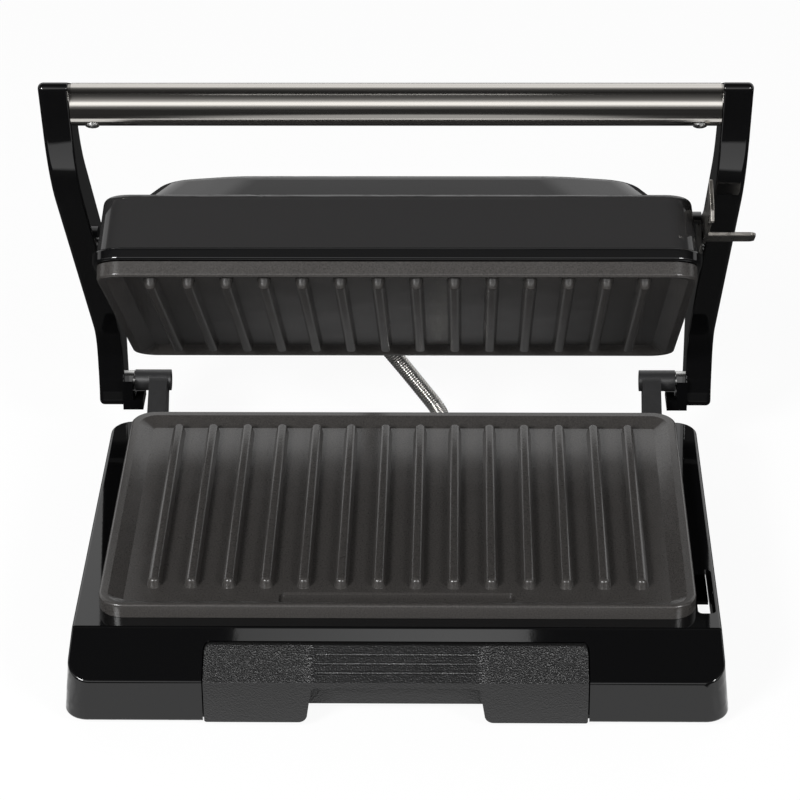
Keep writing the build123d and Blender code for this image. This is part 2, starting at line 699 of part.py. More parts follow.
def wire_conduit():
    route = FilletPolyline(*conduit_route(), radius=CONDUIT_BEND)
    tail = 2.2
    turns = round((route.length - 2 * tail) / CONDUIT_PITCH)
    halves = 2 * turns

    # A frame carried along the route without twist
    spots = []
    side = Vector(1, 0, 0)
    for index in range(halves + 1):
        along = tail + (route.length - 2 * tail) * index / halves
        centre = route.position_at(along / route.length)
        ahead = route.tangent_at(along / route.length)
        side = (side - ahead * side.dot(ahead)).normalized()
        other = ahead.cross(side)
        spots.append((centre, ahead, side, other))

    # Half turns of the helix, with the way the wire runs at each
    places = []
    for index, (centre, ahead, side, other) in enumerate(spots):
        sign = 1 if index % 2 == 0 else -1
        rise = CONDUIT_PITCH / (2 * math.pi * CONDUIT_RADIUS)
        run = (other * sign + ahead * rise).normalized()
        places.append((centre + side * (sign * CONDUIT_RADIUS), run))

    # Ends bent straight into the ferrules
    first, last = spots[0], spots[-1]
    head = places[0][0] - first[3] * 2.4 - first[1] * (tail - CONDUIT_WIRE)
    foot = places[-1][0] + last[3] * 2.4 + last[1] * (tail - CONDUIT_WIRE)
    places.insert(0, (head, first[1]))
    places.append((foot, last[1]))

    edges = [Edge.make_line(head - first[1] * CONDUIT_WIRE, head)]
    for (p0, t0), (p1, t1) in zip(places, places[1:]):
        edges += biarc(p0, t0, p1, t1)
    edges.append(Edge.make_line(foot, foot + last[1] * CONDUIT_WIRE))
    wire = Wire(edges)
    print("conduit turns", turns, "wire length", round(wire.length, 1))
    print("conduit least gap", round(least_gap(edges), 3))
    profile = Plane(wire @ 0, z_dir=wire % 0) * Circle(CONDUIT_WIRE / 2)
    return sweep(profile, path=wire)


def biarc(p0, t0, p1, t1):
    gap = p1 - p0
    both = t0 + t1
    spread = 2 - 2 * t0.dot(t1)
    reach = gap.dot(both)
    if abs(spread) < 1e-9:
        arm_length = gap.dot(gap) / (2 * reach)
    else:
        arm_length = (math.sqrt(reach**2 + spread * gap.dot(gap)) - reach) / spread
    joint = (p0 + t0 * arm_length + p1 - t1 * arm_length) * 0.5
    first = Edge.make_tangent_arc(p0, t0, joint)
    second = Edge.make_tangent_arc(joint, first % 1, p1)
    return [first, second]


def least_gap(edges):
    steps = 8
    points = []
    along = 0.0
    for edge in edges:
        for step in range(steps):
            points.append((along + edge.length * step / steps, edge.position_at(step / steps)))
        along += edge.length
    apart = 0.6 * 2 * math.pi * CONDUIT_RADIUS
    reach = 4 * math.pi * CONDUIT_RADIUS
    least = 1e9
    for index, (s0, p0) in enumerate(points):
        for s1, p1 in points[index + 1 :]:
            if s1 - s0 > reach:
                break
            if s1 - s0 > apart:
                least = min(least, (p1 - p0).length)
    return least - CONDUIT_WIRE


PIVOT_OPEN = opened_point(PIVOT_Y, PIVOT_Z)
RIGHT_ARM = arm(PIVOT_OPEN)
RIGHT_BRACKET = hinge_bracket()
RIGHT_HINGE_PIN = hinge_pin()
RIGHT_PIVOT_PIN = rod_x((121.5, 141.0), *PIVOT_OPEN, PIN_RADIUS)
UPPER_PLATE = flipped(UPPER_RIM_BOTTOM) * grill_plate(UPPER_PLATE_HALF, False)

pieces = {
    "base_housing": base_housing(),
    "base_bottom_cover": base_bottom_cover(),
    "base_cover_screws": base_cover_screws(),
    "rubber_feet": rubber_feet(),
    "lower_grill_plate": lower_plate(),
    "lower_heating_element": heating_element(LOWER_PAN_Z - 3.2),
    "lower_heat_shield": Pos(0, 0, LOWER_BRIM_Z) * heat_shield(LOWER_SHIELD_DEPTH),
    "lower_plate_screws": plate_screws(LOWER_BRIM_Z - LOWER_SHIELD_DEPTH - SHEET),
    "thermostat": thermostat(),
    "thermal_fuse": thermal_fuse(),
    "terminal_block": terminal_block(),
    "cord_inlet": cord_inlet(),
    "right_hinge_bracket": RIGHT_BRACKET,
    "left_hinge_bracket": mirrored(RIGHT_BRACKET),
    "hinge_bracket_screws": hinge_bracket_screws(),
    "base_conduit_ferrule": ferrule(CONDUIT_BASE_X, BASE_REAR, CONDUIT_BASE_Z),
    "wire_conduit": wire_conduit(),
    "lid_leads": lid_leads(),
    "right_arm": RIGHT_ARM,
    "left_arm": mirrored(RIGHT_ARM),
    "right_hinge_pin": RIGHT_HINGE_PIN,
    "left_hinge_pin": mirrored(RIGHT_HINGE_PIN),
    "right_lid_pivot_pin": RIGHT_PIVOT_PIN,
    "left_lid_pivot_pin": mirrored(RIGHT_PIVOT_PIN),
    "handle_tube": handle_tube(),
    "handle_screws": handle_screw(-SCREW_X) + handle_screw(SCREW_X),
    "lid_shell": open_lid * lid_shell(),
    "lid_flange": open_lid * lid_flange(),
    "lid_screws": open_lid * lid_screws(),
    "upper_grill_plate": open_lid * UPPER_PLATE,
    "upper_heating_element": open_lid * heating_element(UPPER_PAN_Z + 3.2),
    "upper_heat_shield": open_lid * flipped(UPPER_BRIM_Z) * heat_shield(UPPER_SHIELD_DEPTH),
    "upper_plate_screws": open_lid * flipped(UPPER_BRIM_Z) * plate_screws(-UPPER_SHIELD_DEPTH - SHEET),
    "lid_conduit_ferrule": open_lid * ferrule(CONDUIT_LID_X, LID_LOW_Y[1], CONDUIT_LID_Z),
    "latch_boss": open_lid * latch_boss(),
    "latch_rivet": open_lid * latch_rivet(),
    "latch_lever": open_lid * latch_lever(),
    "drip_tray": drip_tray(),
}

os.makedirs("parts", exist_ok=True)
for name, piece in pieces.items():
    export_step(piece, f"parts/{name}.step")
print(len(pieces), "pieces, lid pivot at rest", [round(v, 2) for v in PIVOT_OPEN])
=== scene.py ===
import math

import bmesh
import bpy
from mathutils import Matrix, Vector


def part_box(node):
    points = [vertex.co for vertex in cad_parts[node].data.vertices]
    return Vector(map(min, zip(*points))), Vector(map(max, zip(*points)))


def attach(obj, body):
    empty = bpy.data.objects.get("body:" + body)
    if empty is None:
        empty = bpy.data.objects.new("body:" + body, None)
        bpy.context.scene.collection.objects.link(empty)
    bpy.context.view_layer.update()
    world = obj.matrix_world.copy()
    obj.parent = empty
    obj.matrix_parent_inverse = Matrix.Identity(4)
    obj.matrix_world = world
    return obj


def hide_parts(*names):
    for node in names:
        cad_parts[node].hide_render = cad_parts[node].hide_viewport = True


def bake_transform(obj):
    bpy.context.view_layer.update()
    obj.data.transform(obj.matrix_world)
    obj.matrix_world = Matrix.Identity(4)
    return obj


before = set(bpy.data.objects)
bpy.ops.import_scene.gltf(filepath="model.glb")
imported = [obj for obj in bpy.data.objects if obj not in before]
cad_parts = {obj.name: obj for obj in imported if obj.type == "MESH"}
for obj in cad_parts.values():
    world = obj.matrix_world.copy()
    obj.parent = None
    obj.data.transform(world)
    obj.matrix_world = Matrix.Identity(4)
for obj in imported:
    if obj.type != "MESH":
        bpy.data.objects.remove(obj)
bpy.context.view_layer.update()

scene = bpy.context.scene

# Camera: stands in front of the press, a little to its right, and looks down on it
# at about 29 degrees through a long lens.
camera_spot = (0.02812, -1.15596, 0.74673)
heading_degrees = 1.36
look_down_degrees = 29.14
roll_degrees = -0.55
camera_lens = bpy.data.cameras.new("camera")
camera_lens.sensor_width = 36.0
camera_lens.lens = 138.72
camera = bpy.data.objects.new("camera", camera_lens)
scene.collection.objects.link(camera)
camera_place = Matrix.Translation(camera_spot)
camera_heading = Matrix.Rotation(math.radians(heading_degrees), 4, "Z")
camera_tilt = Matrix.Rotation(math.radians(90.0 - look_down_degrees), 4, "X")
camera_roll = Matrix.Rotation(math.radians(roll_degrees), 4, "Z")
camera.matrix_world = camera_place @ camera_heading @ camera_tilt @ camera_roll
scene.camera = camera
scene.view_settings.view_transform = "Standard"

# Studio: a pale floor that runs to white, and a world that is white behind the press
# and dark overhead, with a bright band in front at the height of the camera.
floor_half = 6.0
floor_form = bmesh.new()
bmesh.ops.create_grid(floor_form, x_segments=1, y_segments=1, size=floor_half)
floor_mesh = bpy.data.meshes.new("floor")
floor_form.to_mesh(floor_mesh)
floor_form.free()
floor = bpy.data.objects.new("floor", floor_mesh)
scene.collection.objects.link(floor)


def node_of(tree, kind, **values):
    # One shader node, with the sockets that stay constant set on it.
    made = tree.nodes.new("ShaderNode" + kind)
    for socket, value in values.items():
        made.inputs[socket.replace("_", " ")].default_value = value
    return made


def maths_of(tree, operation, first, second):
    # One step of arithmetic on two values, each a number or another node's output.
    maths = tree.nodes.new("ShaderNodeMath")
    maths.operation = operation
    for socket, value in zip(maths.inputs, (first, second)):
        if isinstance(value, (int, float)):
            socket.default_value = value
        else:
            tree.links.new(value, socket)
    return maths.outputs["Value"]


def grey_of(brightness):
    return (brightness, brightness, brightness, 1.0)


def grey_ramp(tree, source, stops):
    # Greys along a 0 to 1 scale, as pairs of place and brightness.
    ramp = tree.nodes.new("ShaderNodeValToRGB")
    bar = ramp.color_ramp.elements
    while len(bar) < len(stops):
        bar.new(0.5)
    for stop, (place, brightness) in zip(bar, stops):
        stop.position = place
        stop.color = grey_of(brightness)
    tree.links.new(source, ramp.inputs["Fac"])
    return ramp.outputs["Color"]


def seen_rays(tree, path):
    # Whether the surface is looked at, straight or through something clear.
    straight = path.outputs["Is Camera Ray"]
    through = path.outputs["Is Transmission Ray"]
    return maths_of(tree, "MAXIMUM", straight, through)


# What shines sees the white floor as a bright strip in front of the base, a fainter
# pool before that, a dim one behind the base, and a dark floor beyond.
floor_paint = bpy.data.materials.new("floor_paint")
floor_paint.use_nodes = True
tree = floor_paint.node_tree
tree.nodes.clear()
floor_place = node_of(tree, "TexCoord")
pool_reach = 2.0


def floor_pool(middle, halves, greys):
    # An oval of light on the floor, its greys running out to pool_reach times its size.
    oval = node_of(tree, "Mapping", Location=(0.0, middle, 0.0), Scale=(*halves, 1.0))
    oval.vector_type = "TEXTURE"
    tree.links.new(floor_place.outputs["Object"], oval.inputs["Vector"])
    distance = tree.nodes.new("ShaderNodeVectorMath")
    distance.operation = "LENGTH"
    tree.links.new(oval.outputs["Vector"], distance.inputs[0])
    return grey_ramp(tree, maths_of(tree, "DIVIDE", distance.outputs["Value"], pool_reach), greys)


strip_greys = [(0.0, 1.0), (0.46, 1.0), (0.53, 0.06), (0.8, 0.02)]
near_strip = floor_pool(middle=-0.09, halves=(0.28, 0.055), greys=strip_greys)
front_greys = [(0.0, 0.5), (0.35, 0.5), (0.52, 0.08), (0.65, 0.03)]
front_pool = floor_pool(middle=-0.16, halves=(0.12, 0.24), greys=front_greys)
back_greys = [(0.0, 0.16), (0.3, 0.14), (0.55, 0.05), (0.8, 0.0)]
back_pool = floor_pool(middle=0.15, halves=(0.1, 0.06), greys=back_greys)
front_lights = maths_of(tree, "MAXIMUM", near_strip, front_pool)
floor_lights = maths_of(tree, "MAXIMUM", front_lights, back_pool)
floor_path = node_of(tree, "LightPath")
floor_seen = seen_rays(tree, floor_path)
floor_tint = node_of(tree, "MixRGB", Color2=grey_of(1.0))
tree.links.new(floor_seen, floor_tint.inputs["Fac"])
tree.links.new(floor_lights, floor_tint.inputs["Color1"])
floor_white = node_of(tree, "Emission", Strength=1.0)
tree.links.new(floor_tint.outputs["Color"], floor_white.inputs["Color"])

# The floor that is looked at is mostly plain white. The rest of it is soft paint, which
# takes the shadow of the press and throws little light back up.
white_share = 0.92
paint_grey = 0.9
bounce_grey = 0.35
floor_tone = node_of(tree, "MixRGB", Color1=grey_of(paint_grey), Color2=grey_of(bounce_grey))
tree.links.new(floor_path.outputs["Is Diffuse Ray"], floor_tone.inputs["Fac"])
floor_soft = node_of(tree, "BsdfDiffuse")
tree.links.new(floor_tone.outputs["Color"], floor_soft.inputs["Color"])
floor_plain = maths_of(tree, "MULTIPLY", floor_seen, white_share)
floor_glow = maths_of(tree, "ADD", floor_plain, floor_path.outputs["Is Glossy Ray"])
floor_mix = node_of(tree, "MixShader")
tree.links.new(floor_glow, floor_mix.inputs["Fac"])
tree.links.new(floor_soft.outputs["BSDF"], floor_mix.inputs[1])
tree.links.new(floor_white.outputs["Emission"], floor_mix.inputs[2])
floor_out = node_of(tree, "OutputMaterial")
tree.links.new(floor_mix.outputs["Shader"], floor_out.inputs["Surface"])
floor_mesh.materials.append(floor_paint)

# The world's greys run over the press in an arch, from the front horizon at 0 to the
# back horizon at 1.
world = bpy.data.worlds.new("studio")
scene.world = world
world.use_nodes = True
tree = world.node_tree
tree.nodes.clear()
world_place = node_of(tree, "TexCoord")
world_split = node_of(tree, "SeparateXYZ")
tree.links.new(world_place.outputs["Generated"], world_split.inputs["Vector"])
world_front = maths_of(tree, "MULTIPLY", world_split.outputs["Y"], -1.0)
world_angle = maths_of(tree, "ARCTAN2", world_split.outputs["Z"], world_front)
world_arch = maths_of(tree, "DIVIDE", world_angle, math.pi)
room_strength = 1.5
room_greys = [
    (0.0, 0.06),
    (0.04, 0.10),
    (0.08, 0.30),
    (0.115, 1.0),
    (0.185, 1.0),
    (0.22, 0.36),
    (0.27, 0.15),
    (0.36, 0.06),
    (0.49, 0.012),
    (0.58, 0.03),
    (0.65, 0.10),
    (0.70, 0.45),
    (0.75, 0.85),
    (1.0, 0.75),
]
world_room = node_of(tree, "Background", Strength=room_strength)
tree.links.new(grey_ramp(tree, world_arch, room_greys), world_room.inputs["Color"])

# To the eye the world is plain white. What shines sees that white low down behind the
# press, and the greys everywhere else.
behind_from = 0.72
behind_full = 0.8
world_white = node_of(tree, "Background", Color=grey_of(1.0), Strength=1.0)
world_path = node_of(tree, "LightPath")
world_behind = node_of(tree, "MapRange", From_Min=behind_from, From_Max=behind_full)
tree.links.new(world_arch, world_behind.inputs["Value"])
world_glossy = world_path.outputs["Is Glossy Ray"]
world_shine = maths_of(tree, "MULTIPLY", world_glossy, world_behind.outputs["Result"])
world_plain = maths_of(tree, "MAXIMUM", seen_rays(tree, world_path), world_shine)
world_mix = node_of(tree, "MixShader")
tree.links.new(world_plain, world_mix.inputs["Fac"])
tree.links.new(world_room.outputs["Background"], world_mix.inputs[1])
tree.links.new(world_white.outputs["Background"], world_mix.inputs[2])
world_out = node_of(tree, "OutputWorld")
tree.links.new(world_mix.outputs["Shader"], world_out.inputs["Surface"])


# Lamps: two soft boxes light the press from the front. A dim strip overhead is mirrored
# in the sloping front of the base, and in the handle.
def soft_box(name, place, aim, width, height, watts, beam=180.0):
    lamp = bpy.data.lights.new(name, "AREA")
    lamp.shape = "RECTANGLE"
    lamp.size = width
    lamp.size_y = height
    lamp.energy = watts
    lamp.spread = math.radians(beam)
    stand = bpy.data.objects.new(name, lamp)
    stand.location = place
    facing = (Vector(aim) - Vector(place)).to_track_quat("-Z", "Y")
    stand.rotation_euler = facing.to_euler()
    scene.collection.objects.link(stand)


press_middle = (0.0, 0.0, 0.08)
soft_box("left_box", (-0.85, -1.15, 0.95), press_middle, width=0.42, height=0.34, watts=26.0)
soft_box("right_box", (0.95, -1.1, 0.9), press_middle, width=0.36, height=0.3, watts=12.0)
strip_place = (-0.031, -0.172, 1.0)
slope_place = (-0.031, -0.09, 0.03)
soft_box("slope_strip", strip_place, slope_place, width=0.216, height=0.07, watts=0.0011, beam=22.0)


# Base housing: one injection moulding in polished black plastic, open below, with a
# sloping upper front. The bottom cover closes it.
def new_finish(name, colour, metallic=0.0):
    # A material of one colour, with the node tree and shader that its grain is added to.
    finish = bpy.data.materials.new(name)
    finish.use_nodes = True
    shader = finish.node_tree.nodes["Principled BSDF"]
    shader.inputs["Base Color"].default_value = (*colour, 1.0)
    shader.inputs["Metallic"].default_value = metallic
    return finish, finish.node_tree, shader


def object_noise(tree, scale, detail, stretch=(1.0, 1.0, 1.0)):
    place = node_of(tree, "TexCoord")
    drawn = node_of(tree, "Mapping", Scale=stretch)
    noise = node_of(tree, "TexNoise", Scale=scale, Detail=detail)
    tree.links.new(place.outputs["Object"], drawn.inputs["Vector"])
    tree.links.new(drawn.outputs["Vector"], noise.inputs["Vector"])
    return noise.outputs["Fac"]


def spread(tree, source, low, high):
    # Maps the middle of a noise to the range from low to high.
    scale = node_of(tree, "MapRange", From_Min=0.3, From_Max=0.7, To_Min=low, To_Max=high)
    tree.links.new(source, scale.inputs["Value"])
    return scale.outputs["Result"]


def bump_from(tree, source, shader, strength, depth):
    bump = node_of(tree, "Bump", Strength=strength, Distance=depth)
    tree.links.new(source, bump.inputs["Height"])
    tree.links.new(bump.outputs["Normal"], shader.inputs["Normal"])


def black_plastic(name, colour, roughness):
    # Polished plastic: its shine varies in broad clouds, over a faint fine peel.
    finish, tree, shader = new_finish(name, colour)
    cloud = object_noise(tree, scale=35.0, detail=4.0)
    tree.links.new(spread(tree, cloud, *roughness), shader.inputs["Roughness"])
    peel = object_noise(tree, scale=420.0, detail=2.0)
    bump_from(tree, peel, shader, strength=0.03, depth=0.0001)
    return finish


merge_gap = 2e-6
level_angle = math.radians(0.5)
sharp_angle = math.radians(40.0)
large_face_weight = 80
equal_area = 1e-6


def fair_copy(node, body, finish, crease=25.0, edge=0.0, flat=False):
    # The node's own shape, with its triangles joined so that it shades as one skin.
    # Where an edge width is given, its sharp edges are rounded by that much. A piece
    # with large flat faces is shaded by them alone, up to its small rounds.
    form = bmesh.new()
    form.from_mesh(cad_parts[node].data)
    bmesh.ops.remove_doubles(form, verts=form.verts, dist=merge_gap)
    if edge or flat:
        bmesh.ops.dissolve_limit(
            form, angle_limit=level_angle, verts=form.verts, edges=form.edges
        )
    for face in form.faces:
        face.smooth = True
        face.material_index = 0
    for line in form.edges:
        line.smooth = line.calc_face_angle(0.0) < math.radians(crease)
    mesh = bpy.data.meshes.new(node + "_skin")
    form.to_mesh(mesh)
    form.free()
    mesh.materials.clear()
    mesh.materials.append(finish)
    piece = bpy.data.objects.new(node + "_skin", mesh)
    scene.collection.objects.link(piece)
    if edge:
        worn = piece.modifiers.new("worn_edges", "BEVEL")
        worn.width = edge
        worn.segments = 2
        worn.limit_method = "ANGLE"
        worn.angle_limit = sharp_angle
    even = piece.modifiers.new("even_shading", "WEIGHTED_NORMAL")
    even.keep_sharp = True
    even.weight = large_face_weight
    if flat:
        even.thresh = equal_area
    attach(piece, body)
    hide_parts(node)


gloss_black = black_plastic("gloss_black", (0.0026, 0.0026, 0.0028), roughness=(0.025, 0.05))
fair_copy("base_housing", "base", gloss_black, flat=True)


# Bottom cover, cord bush and terminal block: satin black mouldings. The cover is held
# up into the housing by four screws.
def grained_finish(
    name,
    colour,
    scale,
    roughness,
    detail=3.0,
    stretch=(1.0, 1.0, 1.0),
    relief=0.0,
    depth=0.0002,
    metallic=0.0,
):
    # One noise varies the shine and, where there is a relief, raises the grain as well.
    finish, tree, shader = new_finish(name, colour, metallic)
    grain = object_noise(tree, scale, detail, stretch)
    tree.links.new(spread(tree, grain, *roughness), shader.inputs["Roughness"])
    if relief:
        bump_from(tree, grain, shader, relief, depth)
    return finish


satin_black = grained_finish(
    "satin_black", (0.014, 0.014, 0.0145), scale=900.0, roughness=(0.38, 0.55), relief=0.15
)
for plain_node in ("base_bottom_cover", "cord_inlet", "terminal_block"):
    fair_copy(plain_node, "base", satin_black, edge=0.0003)

# Feet: four round rubber pads with chamfered rims, stuck under the bottom cover near
# its corners, so that the base stands just clear of the table.
foot_rubber = grained_finish(
    "foot_rubber", (0.02, 0.02, 0.02), scale=1400.0, roughness=(0.6, 0.85), relief=0.3
)
fair_copy("rubber_feet", "base", foot_rubber)

# Screws of the base: plated steel pan heads with a cross recess. Four hold the bottom
# cover, four the hinge brackets, and four clamp the plate from below.
plated_steel = grained_finish(
    "plated_steel", (0.62, 0.62, 0.61), scale=300.0, roughness=(0.16, 0.32), metallic=1.0
)


def cross_screw(form, stand, radius, height, shank):
    # Drawn with the head's seat at the origin and its face up, then put in its place. The
    # head is a square grid drawn in to a disc, and its recess is a cross of the grid's
    # cells. The cross's arm is a share of the head's radius, and its depth and the rim
    # are shares of the head's height.
    cells = 9
    cross_arm = 0.62
    cross_depth = 0.55
    rim_share = 0.5
    shank_radius, shank_length = shank
    crown_fall = 1.0 - rim_share**2
    half_cell = 1.0 / cells
    made = bmesh.ops.create_grid(form, x_segments=cells, y_segments=cells, size=1.0)
    skin = set(made["verts"])
    faces = {face for vert in skin for face in vert.link_faces}

    def in_cross(face):
        x, y = (abs(value) for value in face.calc_center_median().xy)
        return min(x, y) < half_cell and max(x, y) < cross_arm

    rim = [line for line in form.edges if line.is_boundary and line.verts[0] in skin]
    wall = bmesh.ops.extrude_edge_only(form, edges=rim)["geom"]
    wall_verts = [part for part in wall if isinstance(part, bmesh.types.BMVert)]
    crossed = [face for face in faces if in_cross(face)]
    sunk = bmesh.ops.extrude_face_region(form, geom=crossed)["geom"]
    sunk_verts = [part for part in sunk if isinstance(part, bmesh.types.BMVert)]
    lifted = [face for face in faces if face.is_valid and in_cross(face)]
    bmesh.ops.delete(form, geom=lifted, context="FACES_ONLY")
    head = list(skin) + wall_verts + sunk_verts
    for vert in head:
        x, y, _ = vert.co
        vert.co.x = radius * x * math.sqrt(1.0 - y * y / 2.0)
        vert.co.y = radius * y * math.sqrt(1.0 - x * x / 2.0)
        out = math.hypot(vert.co.x, vert.co.y) / radius
        vert.co.z = height * math.sqrt(1.0 - crown_fall * out * out)
    for vert in wall_verts:
        vert.co.z = 0.0
    for vert in sunk_verts:
        vert.co.z -= cross_depth * height
    stem = bmesh.ops.create_cone(
        form,
        cap_ends=True,
        segments=16,
        radius1=shank_radius,
        radius2=shank_radius,
        depth=shank_length,
    )["verts"]
    bmesh.ops.translate(form, verts=stem, vec=(0.0, 0.0, -shank_length / 2))
    bmesh.ops.transform(form, matrix=stand, verts=head + stem)


def screw_set(node, body, stands, radius, height, shank):
    form = bmesh.new()
    for stand in stands:
        cross_screw(form, stand, radius, height, shank)
    bmesh.ops.recalc_face_normals(form, faces=form.faces)
    for face in form.faces:
        face.smooth = True
    for line in form.edges:
        line.smooth = line.calc_face_angle(0.0) < sharp_angle
    mesh = bpy.data.meshes.new(node + "_set")
    form.to_mesh(mesh)
    form.free()
    mesh.materials.append(plated_steel)
    piece = bpy.data.objects.new(node + "_set", mesh)
    scene.collection.objects.link(piece)
    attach(piece, body)
    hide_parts(node)


def corners_of(node, axis, inset):
    # The four screw spots, at the corners of the box that the set fills.
    low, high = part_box(node)
    ends = [(low[other] + inset, high[other] - inset) for other in range(3) if other != axis]
    return [(first, second) for first in ends[0] for second in ends[1]]


cover_head = 0.0030
cover_rise = 0.0017
cover_shank = 0.0015
cover_low, cover_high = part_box("base_cover_screws")
cover_seat = cover_low.z + cover_rise
cover_stands = [
    Matrix.Translation((x, y, cover_seat)) @ Matrix.Rotation(math.pi, 4, "X")
    for x, y in corners_of("base_cover_screws", axis=2, inset=cover_head)
]
cover_stem = (cover_shank, cover_high.z - cover_seat)
screw_set("base_cover_screws", "base", cover_stands, cover_head, cover_rise, cover_stem)

bracket_head = 0.0034
bracket_rise = 0.0022
bracket_shank = 0.002
bracket_low, bracket_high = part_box("hinge_bracket_screws")
bracket_seat = bracket_high.y - bracket_rise
bracket_stands = [
    Matrix.Translation((x, bracket_seat, z)) @ Matrix.Rotation(-math.pi / 2, 4, "X")
    for x, z in corners_of("hinge_bracket_screws", axis=1, inset=bracket_head)
]
bracket_stem = (bracket_shank, bracket_seat - bracket_low.y)
screw_set("hinge_bracket_screws", "base", bracket_stands, bracket_head, bracket_rise, bracket_stem)
fair_copy("lower_plate_screws", "base", plated_steel)

# Lower grill plate: cast aluminium with a dark non-stick coat, ribs front to back
# and a shallow drain recess at the front. The coat is finely specked.
coat_dark = (0.026, 0.0245, 0.0235)
coat_pale = (0.052, 0.0485, 0.046)
coated_plate, tree, shader = new_finish("coated_plate", coat_dark)
coat_speck = object_noise(tree, scale=1600.0, detail=4.0)
coat_tint = node_of(tree, "MixRGB", Color1=(*coat_dark, 1.0), Color2=(*coat_pale, 1.0))
tree.links.new(spread(tree, coat_speck, low=0.0, high=1.0), coat_tint.inputs["Fac"])
tree.links.new(coat_tint.outputs["Color"], shader.inputs["Base Color"])
coat_cloud = object_noise(tree, scale=60.0, detail=3.0)
tree.links.new(spread(tree, coat_cloud, low=0.2, high=0.27), shader.inputs["Roughness"])
bump_from(tree, coat_speck, shader, strength=0.2, depth=0.0002)
fair_copy("lower_grill_plate", "base", coated_plate, flat=True)

# Heating parts under the plate: a bent tubular element, a folded sheet shield and
# the thermostat and fuse clipped beside them.
dull_sheath = grained_finish(
    "dull_sheath", (0.22, 0.21, 0.20), scale=200.0, detail=4.0, roughness=(0.35, 0.6), metallic=1.0
)
fair_copy("lower_heating_element", "base", dull_sheath)

bright_sheet = grained_finish(
    "bright_sheet", (0.68, 0.68, 0.68), scale=120.0, detail=4.0, roughness=(0.25, 0.4), metallic=1.0
)
for sheet_node in ("lower_heat_shield", "thermostat", "thermal_fuse"):
    fair_copy(sheet_node, "base", bright_sheet)

# Hinge: a cast bracket on each side of the rear wall, painted dark grey, with a
# steel pin through its barrel that is fixed in the arm. A second pin, higher up the
# arm, carries the lid.
bracket_paint = grained_finish(
    "bracket_paint", (0.018, 0.018, 0.0185), scale=1100.0, roughness=(0.3, 0.48), relief=0.2
)
for side in ("right", "left"):
    fair_copy(side + "_hinge_bracket", "base", bracket_paint)
    fair_copy(side + "_hinge_pin", "arms", plated_steel)
    fair_copy(side + "_lid_pivot_pin", "arms", plated_steel)

# Drip tray: a black moulding with a coarse grain on its sloping front and a finer
# one below and on its grip, which slides out on the rails of the bottom cover.
crease_height = 0.0232
crease_blend = 0.0002
grip_half = 0.0345
grip_blend = (-0.001, 0.005)
grained_black, tree, shader = new_finish("grained_black", (0.010, 0.010, 0.0102))
tray_place = node_of(tree, "TexCoord")
tray_split = node_of(tree, "SeparateXYZ")
tree.links.new(tray_place.outputs["Object"], tray_split.inputs["Vector"])
tray_upper = node_of(
    tree, "MapRange", From_Min=crease_height - crease_blend, From_Max=crease_height + crease_blend
)
tree.links.new(tray_split.outputs["Z"], tray_upper.inputs["Value"])
tray_across = maths_of(tree, "ABSOLUTE", tray_split.outputs["X"], 0.0)
tray_outside = node_of(
    tree, "MapRange", From_Min=grip_half + grip_blend[0], From_Max=grip_half + grip_blend[1]
)
tree.links.new(tray_across, tray_outside.inputs["Value"])
coarse_share = maths_of(
    tree, "MULTIPLY", tray_upper.outputs["Result"], tray_outside.outputs["Result"]
)
tray_depth = node_of(tree, "MapRange", To_Min=0.4, To_Max=1.0)
tree.links.new(coarse_share, tray_depth.inputs["Value"])
tray_speck = node_of(tree, "TexVoronoi", Scale=1500.0)
tree.links.new(tray_place.outputs["Object"], tray_speck.inputs["Vector"])
tray_relief = maths_of(
    tree, "MULTIPLY", tray_speck.outputs["Distance"], tray_depth.outputs["Result"]
)
tray_gloss = node_of(tree, "MapRange", To_Min=0.32, To_Max=0.34)
tree.links.new(coarse_share, tray_gloss.inputs["Value"])
tree.links.new(tray_gloss.outputs["Result"], shader.inputs["Roughness"])
bump_from(tree, tray_relief, shader, strength=1.0, depth=0.0006)
fair_copy("drip_tray", "tray", grained_black, edge=0.00035)

# Arms: a pair of curved black mouldings, polished as the base is. Each is fixed on its
# hinge pin, carries the lid on a pivot pin, and ends in a spigot for the handle.
for side in ("right", "left"):
    fair_copy(side + "_arm", "arms", gloss_black)

# Handle: a brushed steel tube pushed over the spigots of the arms, with a screw
# under each end. The brushing runs along the tube.
brushed_steel = grained_finish(
    "brushed_steel",
    (0.60, 0.575, 0.54),
    scale=2.0,
    detail=4.0,
    stretch=(6.0, 900.0, 900.0),
    roughness=(0.09, 0.17),
    relief=0.08,
    depth=0.0001,
    metallic=1.0,
)
fair_copy("handle_tube", "arms", brushed_steel)

handle_head = 0.0028
handle_rise = 0.0015
handle_sink = 0.0003
handle_stem = (0.0016, 0.006)
handle_lean = math.radians(-38.0)
tube_low, tube_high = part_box("handle_tube")
tube_middle = (tube_low + tube_high) / 2
tube_radius = (tube_high.z - tube_low.z) / 2
handle_screw_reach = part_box("handle_screws")[1].x - handle_head
handle_stands = [
    Matrix.Translation((side * handle_screw_reach, tube_middle.y, tube_middle.z))
    @ Matrix.Rotation(handle_lean, 4, "X")
    @ Matrix.Translation((0.0, 0.0, -tube_radius + handle_sink))
    @ Matrix.Rotation(math.pi, 4, "X")
    for side in (-1, 1)
]
screw_set("handle_screws", "arms", handle_stands, handle_head, handle_rise, handle_stem)

